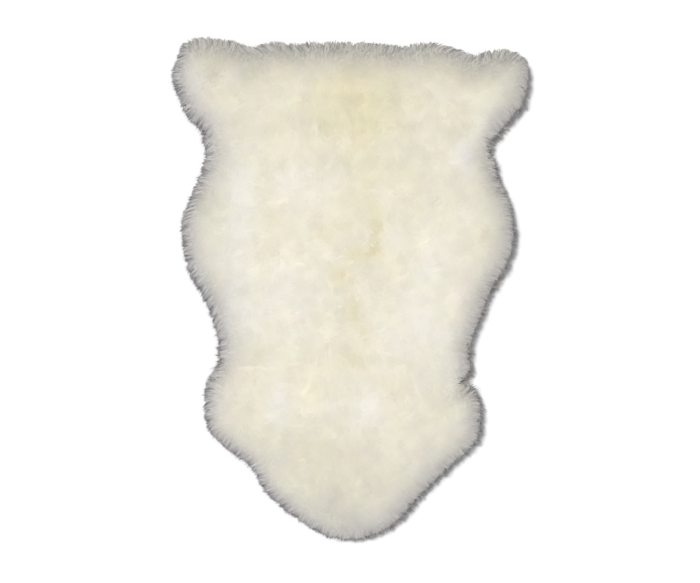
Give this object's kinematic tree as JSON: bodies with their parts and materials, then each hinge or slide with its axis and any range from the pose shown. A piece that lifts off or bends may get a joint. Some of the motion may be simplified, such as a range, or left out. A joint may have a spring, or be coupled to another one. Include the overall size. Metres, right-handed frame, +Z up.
{
  "type": "sheepskin rug",
  "caption": "Single-pelt ivory wool sheepskin rug in the animal's outline, lying flat with the wool side up.",
  "frame": {"origin": "middle of the pelt's outline, on the surface it lies on", "axes": "+Y towards the neck end, +X to the right foreleg seen from above, +Z up out of the wool"},
  "size_m": [0.6568, 0.9232, 0.0499],
  "materials": {
    "wool": "dense ivory long wool, combed, soft and matt",
    "hide": "tanned pale suede flesh side"
  },
  "bodies": {
    "root": {"sheepskin": "wool"}
  },
  "joints": []
}
